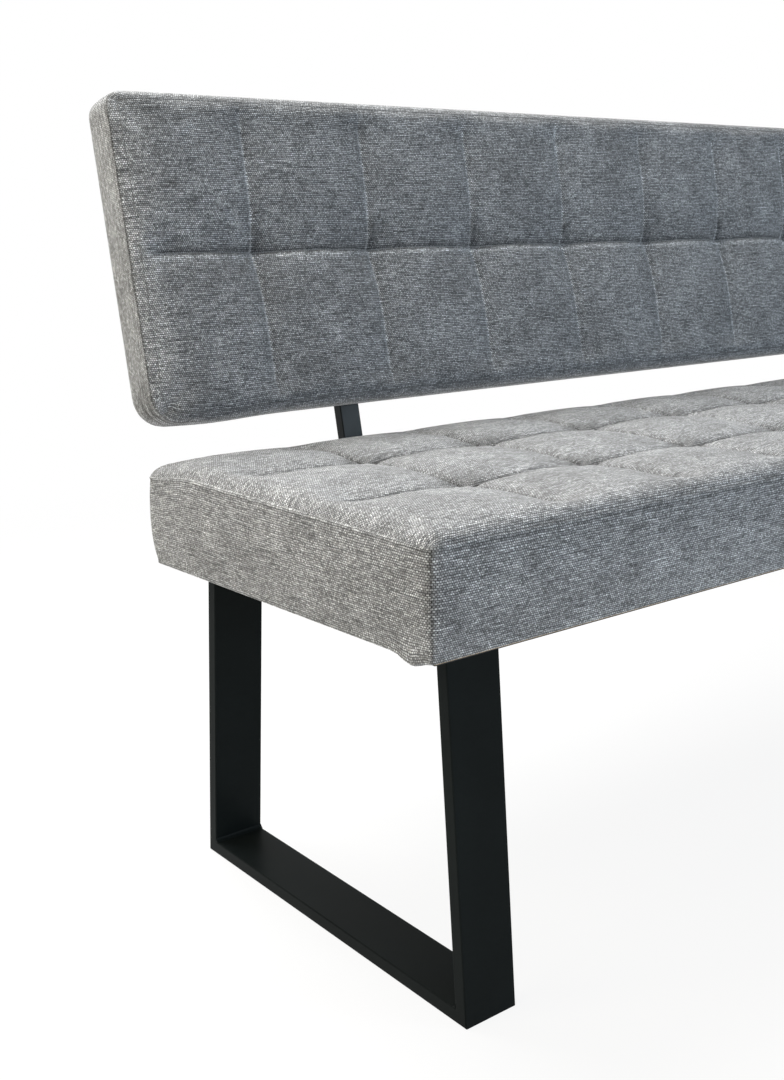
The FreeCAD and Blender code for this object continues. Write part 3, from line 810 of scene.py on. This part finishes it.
def place_group(tree, maker, inputs):
    """Places a maker's shader group in a material; the group is made on first use."""
    if maker not in GROUPS:
        GROUPS[maker] = maker()
    return add(tree, "ShaderNodeGroup", inputs, node_tree=GROUPS[maker])


# Materials

def new_material(name, roughness, **shader):
    """Makes a material and sets the constant sockets of its Principled shader."""
    material = bpy.data.materials.new(name)
    material.use_nodes = True
    tree = material.node_tree
    principled = next(node for node in tree.nodes if node.type == "BSDF_PRINCIPLED")
    principled.inputs["Roughness"].default_value = roughness
    for key, value in shader.items():
        principled.inputs[key.replace("_", " ")].default_value = value
    return material, tree, principled


def rgba(colour, share=1.0):
    """Colour with alpha, made lighter or darker by a share."""
    return tuple(min(channel * share, 1.0) for channel in colour) + (1.0,)


def join(tree, look, principled, strength, distance):
    """Joins a group's colour to the shader, and its height as a bump."""
    inputs = {"Height": look.outputs["Height"], "Strength": strength, "Distance": distance}
    tree.links.new(look.outputs["Color"], principled.inputs["Base Color"])
    tree.links.new(add(tree, "ShaderNodeBump", inputs).outputs[0], principled.inputs["Normal"])


def cloth_material(finish):
    """Marled grey upholstery cloth: matt, slightly fuzzy, on the cloth's own UV map, with painted shade and
    light from the 'seam' attribute.
    """
    material, tree, principled = new_material(
        "marled_cloth", roughness=0.92, Sheen_Weight=0.18, Sheen_Roughness=0.6, Specular_IOR_Level=0.08)
    uv = add(tree, "ShaderNodeUVMap", uv_map="cloth")
    # The 'seam' attribute holds painted shade along seams, tufts, rims and folds, and painted light where
    # negative
    seam = add(tree, "ShaderNodeAttribute", attribute_name="seam")
    weave = place_group(tree, marled_weave_group, {
        "Vector": uv.outputs[0], "Dark Yarn": rgba(finish.yarn_dark), "Grey Yarn": rgba(finish.yarn_mid),
        "Pale Yarn": rgba(finish.yarn_light), "Seam": seam.outputs["Fac"]})
    join(tree, weave, principled, strength=0.55, distance=0.0007)
    return material


def speckled_material(name, colour, tint_share, size, roughness, bump, **shader):
    """A finish with fine speckle: powder coat, foam, spun cloth, thread or plating."""
    spread = 0.06
    material, tree, principled = new_material(name, roughness, **shader)
    place = add(tree, "ShaderNodeTexCoord")
    speckle = place_group(tree, speckled_group, {
        "Vector": place.outputs["Object"], "Size": size,
        "Base": rgba(colour), "Tint": rgba(colour, tint_share)})
    rough = ranged(tree, speckle.outputs["Mask"], 0.3, 0.7, roughness - spread, roughness + spread)
    tree.links.new(rough, principled.inputs["Roughness"])
    join(tree, speckle, principled, strength=bump, distance=0.0002)
    return material


def wood_material(name, colour, turned=False):
    """Plain wood with its grain along X, or along Y where turned."""
    material, tree, principled = new_material(name, roughness=0.62)
    place = add(tree, "ShaderNodeTexCoord")
    angle = math.pi / 2 if turned else 0.0
    inputs = {"Vector": place.outputs["Object"], "Rotation": (0.0, 0.0, angle)}
    along = add(tree, "ShaderNodeMapping", inputs)
    grain = place_group(tree, grained_group, {
        "Vector": along.outputs[0], "Pale": rgba(colour, share=1.12), "Dark": rgba(colour, share=0.72)})
    join(tree, grain, principled, strength=0.25, distance=0.0004)
    return material


def dress(piece, material):
    """Gives a piece one material."""
    piece.data.materials.clear()
    piece.data.materials.append(material)


def dress_nodes(materials):
    """Gives each CAD node the first material whose beginnings fit its name."""
    for name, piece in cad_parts.items():
        match = next((material for starts, material in materials if name.startswith(starts)), None)
        if match is not None:
            dress(piece, match)


# Operators

class BENCH_OT_seat_cushion(bpy.types.Operator):
    """Makes the quilted seat cushion with its boxing, and puts it in place of the plain cover."""
    bl_idname = "bench.seat_cushion"
    bl_label = "Seat cushion"

    def execute(self, context):
        form, finish = context.scene.bench_seat, context.scene.bench_finish
        rows = [(i - form.rows / 2) * form.depth / form.rows for i in range(1, form.rows)]
        half_x = float(SEAT_HIGH[0]) - SEAT_END_INSET
        cushion = SeatCushion(half_x, form.depth / 2, column_lines(form.columns), rows)
        cushion.fall_to_rear(form.rear_drop)
        matrix = Matrix.Translation((0, SEAT_MIDDLE_Y, float(SEAT_LOW[2])))
        piece = cushion.make("seat_cushion", form, form.edge_height, matrix)
        dress(piece, bpy.data.materials.get("marled_cloth") or cloth_material(finish))
        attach(piece, "root")
        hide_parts("seat_cover")
        stitching = thread_mesh("seat_stitching", cushion.seam_paths(), cushion.up, THREAD_RADIUS)
        finish_thread(stitching, "dark_thread", finish.yarn_dark)
        return {"FINISHED"}


class BENCH_OT_back_cushion(bpy.types.Operator):
    """Makes the quilted backrest with its boxing and rear panel, tilted on its posts."""
    bl_idname = "bench.back_cushion"
    bl_label = "Back cushion"

    def execute(self, context):
        form, seat, finish = context.scene.bench_back, context.scene.bench_seat, context.scene.bench_finish
        half_x, half_y = float(BACK_HIGH[0]) - BACK_END_INSET, form.height / 2
        cushion = BackCushion(half_x, half_y, column_lines(seat.columns), [form.lower_row - half_y])
        upright = Matrix.Translation((0, form.thickness, half_y)) @ Matrix.Rotation(math.pi / 2, 4, "X")
        lean = Matrix.Translation((0, form.foot_y, form.foot_z)) @ Matrix.Rotation(-form.tilt, 4, "X")
        piece = cushion.make("back_cushion", form, form.thickness, lean @ upright, rear_height=0.0)
        dress(piece, bpy.data.materials.get("marled_cloth") or cloth_material(finish))
        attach(piece, "root")
        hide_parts("back_cover_front", "back_cover_rear")
        stitching = thread_mesh("back_stitching", cushion.seam_paths(), cushion.up, THREAD_RADIUS)
        # A paler thread than the seat's, partly its own grey and partly a painted highlight along the back's
        # seams
        finish_thread(stitching, "thread", finish.thread)
        topstitch = thread_mesh("back_topstitch", [cushion.groove_path()], cushion.up, TOPSTITCH_RADIUS)
        finish_thread(topstitch, "grey_thread", finish.topstitch)
        return {"FINISHED"}


class BENCH_OT_steelwork(bpy.types.Operator):
    """Gives the leg loops, posts, arms and welds their black powder coat."""
    bl_idname = "bench.steelwork"
    bl_label = "Steelwork"

    def execute(self, context):
        steel = context.scene.bench_finish.steel
        grit = {"tint_share": 1.5, "size": 1400.0}
        matt = speckled_material(
            "matt_black_coat", steel, roughness=0.36, bump=0.12, Specular_IOR_Level=0.03, **grit)
        satin = speckled_material(
            "satin_black_coat", steel, roughness=0.32, bump=0.10, Specular_IOR_Level=0.10, **grit)
        dress_nodes((
            (("floor_rail", "leg_front", "leg_rear", "top_rail", "leg_welds"), matt),
            (("back_post", "post_arm", "post_welds"), satin)))
        return {"FINISHED"}


class BENCH_OT_inner_frame(bpy.types.Operator):
    """Gives the timber, boards, foam, twines, dust cloth and fasteners their materials."""
    bl_idname = "bench.inner_frame"
    bl_label = "Inner frame"

    def execute(self, context):
        finish = context.scene.bench_finish
        along = wood_material("softwood_long", finish.timber)
        across = wood_material("softwood_cross", finish.timber, turned=True)
        plywood = wood_material("birch_plywood", finish.plywood)
        foam = speckled_material(
            "open_foam", finish.foam, tint_share=0.85, size=700.0, roughness=0.9, bump=0.6)
        spun = speckled_material(
            "spun_dust_cloth", finish.dust_cloth, tint_share=1.8, size=1100.0, roughness=0.85, bump=0.5)
        twine = speckled_material(
            "waxed_twine", finish.twine, tint_share=0.8, size=1500.0, roughness=0.7, bump=0.4)
        zinc = speckled_material(
            "zinc_plate", finish.zinc, tint_share=0.85, size=500.0, roughness=0.35, bump=0.1, Metallic=1.0)
        dress_nodes((
            (("seat_rail_end", "seat_bearer", "leg_cross_rail", "post_cross_rail"), across),
            (("seat_rail",), along),
            (("seat_deck", "back_board"), plywood),
            (("seat_foam", "back_foam", "back_rear_foam"), foam),
            (("seat_dust_cover",), spun),
            (("seat_tuft_twines", "back_tuft_twines"), twine),
            (("seat_tuft_washers", "back_tuft_washers", "leg_bolts", "leg_washers", "leg_tee_nuts", "arm_",
              "back_bolts", "back_tee_nuts"), zinc)))
        return {"FINISHED"}


class BENCH_OT_stage(bpy.types.Operator):
    """Makes the floor, the lamps, the white surroundings and the camera."""
    bl_idname = "bench.stage"
    bl_label = "Stage"

    def execute(self, context):
        stage = context.scene.bench_stage
        context.scene.view_settings.view_transform = "Standard"
        self.floor(stage)
        self.world(context, stage)
        self.lamp("top_lamp", stage.top_lamp, colour=(1.0, 0.985, 0.955), place=(-0.85, 0.85, 2.4),
                  target=(-0.5, 0.0, 0.45), size=1.3)
        self.lamp("left_lamp", stage.left_lamp, colour=(1.0, 0.90, 0.68), place=(-2.9, 0.15, 2.1),
                  target=(-0.5, 0.0, 0.5), size=1.4)
        self.lamp("front_lamp", stage.front_lamp, colour=(0.70, 0.86, 1.0), place=(0.9, -2.3, 1.0),
                  target=(-0.2, 0.0, 0.5), size=0.8)
        self.camera(context, stage)
        return {"FINISHED"}

    def floor(self, stage):
        """A flat square that keeps the shadow, looks white to the camera and is clear from below."""
        reach, level = 9.0, -0.0004
        near, far, near_glow = 0.9, 2.4, 0.90
        corners = [(x * reach, y * reach, level) for x, y in ((-1, -1), (1, -1), (1, 1), (-1, 1))]
        floor = new_piece("studio_floor", corners, [(0, 1, 2, 3)])
        material, tree, principled = new_material("studio_floor", 0.9, Specular_IOR_Level=0.0)
        principled.inputs["Base Color"].default_value = rgba(stage.floor)
        glow = add(tree, "ShaderNodeEmission", {"Color": (1, 1, 1, 1), "Strength": 1.0})
        place = add(tree, "ShaderNodeTexCoord").outputs["Object"]
        distance = add(tree, "ShaderNodeVectorMath", {0: place}, operation="LENGTH").outputs["Value"]
        share = times(tree, self.seen(tree), ranged(tree, distance, near, far, near_glow, 1.0))
        blend = add(tree, "ShaderNodeMixShader", {0: share, 1: principled.outputs[0], 2: glow.outputs[0]})
        below = add(tree, "ShaderNodeNewGeometry").outputs["Backfacing"]
        clear = add(tree, "ShaderNodeBsdfTransparent")
        sided = add(tree, "ShaderNodeMixShader", {0: below, 1: blend.outputs[0], 2: clear.outputs[0]})
        output = next(node for node in tree.nodes if node.type == "OUTPUT_MATERIAL")
        tree.links.new(sided.outputs[0], output.inputs[0])
        dress(floor, material)

    @staticmethod
    def seen(tree):
        """1 for camera, mirror and glass rays; 0 for rays that light a surface."""
        light = add(tree, "ShaderNodeLightPath").outputs
        straight = math_node(tree, "MAXIMUM", light["Is Camera Ray"], light["Is Transmission Ray"])
        return math_node(tree, "MAXIMUM", straight, light["Is Glossy Ray"])

    def world(self, context, stage):
        """Even pale light, which the camera and reflections see as white."""
        world = bpy.data.worlds.new("studio")
        world.use_nodes = True
        context.scene.world = world
        tree = world.node_tree
        background = next(node for node in tree.nodes if node.type == "BACKGROUND")
        background.inputs["Color"].default_value = (1, 1, 1, 1)
        strength = ranged(tree, self.seen(tree), 0.0, 1.0, stage.sky, 1.0)
        tree.links.new(strength, background.inputs["Strength"])

    @staticmethod
    def lamp(name, power, colour, place, target, size):
        """A square soft box at a place, turned to a target."""
        data = bpy.data.lights.new(name, "AREA")
        data.energy = power
        data.color = colour
        data.size = size
        lamp = bpy.data.objects.new(name, data)
        away = Vector(place) - Vector(target)
        lamp.matrix_world = Matrix.Translation(place) @ away.to_track_quat("Z", "Y").to_matrix().to_4x4()
        bpy.context.scene.collection.objects.link(lamp)

    @staticmethod
    def camera(context, stage):
        """The camera at the photograph's place, by its right, up and backward directions."""
        right = (0.78607, -0.61802, -0.01228)
        up = (0.15591, 0.17899, 0.97142)
        back = (-0.59815, -0.76552, 0.23705)
        place = (-1.5675, -1.1267, 0.7491)
        data = bpy.data.cameras.new("camera")
        data.lens = stage.lens
        data.sensor_width = 36.0
        data.clip_end = 60.0
        camera = bpy.data.objects.new("camera", data)
        rows = [(right[k], up[k], back[k], place[k]) for k in range(3)] + [(0, 0, 0, 1)]
        camera.matrix_world = Matrix(rows)
        context.scene.collection.objects.link(camera)
        context.scene.camera = camera


class BENCH_PT_panel(bpy.types.Panel):
    """Lists the bench's settings and the steps that make it."""
    bl_idname = "BENCH_PT_panel"
    bl_label = "Bench"
    bl_space_type = "VIEW_3D"
    bl_region_type = "UI"
    bl_category = "Bench"

    def draw(self, context):
        for operator in OPERATORS:
            self.layout.operator(operator.bl_idname)
        for name in SETTINGS:
            settings = getattr(context.scene, name)
            box = self.layout.box()
            for key in settings.__annotations__:
                box.prop(settings, key)


SETTINGS = {
    "bench_seat": BenchSeat, "bench_back": BenchBack, "bench_finish": BenchFinish, "bench_stage": BenchStage}
OPERATORS = (
    BENCH_OT_seat_cushion, BENCH_OT_back_cushion, BENCH_OT_steelwork, BENCH_OT_inner_frame, BENCH_OT_stage)


def register():
    """Registers the settings, the operators and the panel."""
    for name, group in SETTINGS.items():
        bpy.utils.register_class(group)
        setattr(bpy.types.Scene, name, PointerProperty(type=group))
    for operator in OPERATORS:
        bpy.utils.register_class(operator)
    bpy.utils.register_class(BENCH_PT_panel)


def unregister():
    """Takes the panel, the operators and the settings out again."""
    bpy.utils.unregister_class(BENCH_PT_panel)
    for operator in reversed(OPERATORS):
        bpy.utils.unregister_class(operator)
    for name, group in SETTINGS.items():
        delattr(bpy.types.Scene, name)
        bpy.utils.unregister_class(group)


def main():
    register()
    bpy.ops.bench.seat_cushion()
    bpy.ops.bench.back_cushion()
    bpy.ops.bench.steelwork()
    bpy.ops.bench.inner_frame()
    bpy.ops.bench.stage()


if __name__ == "__main__":
    main()
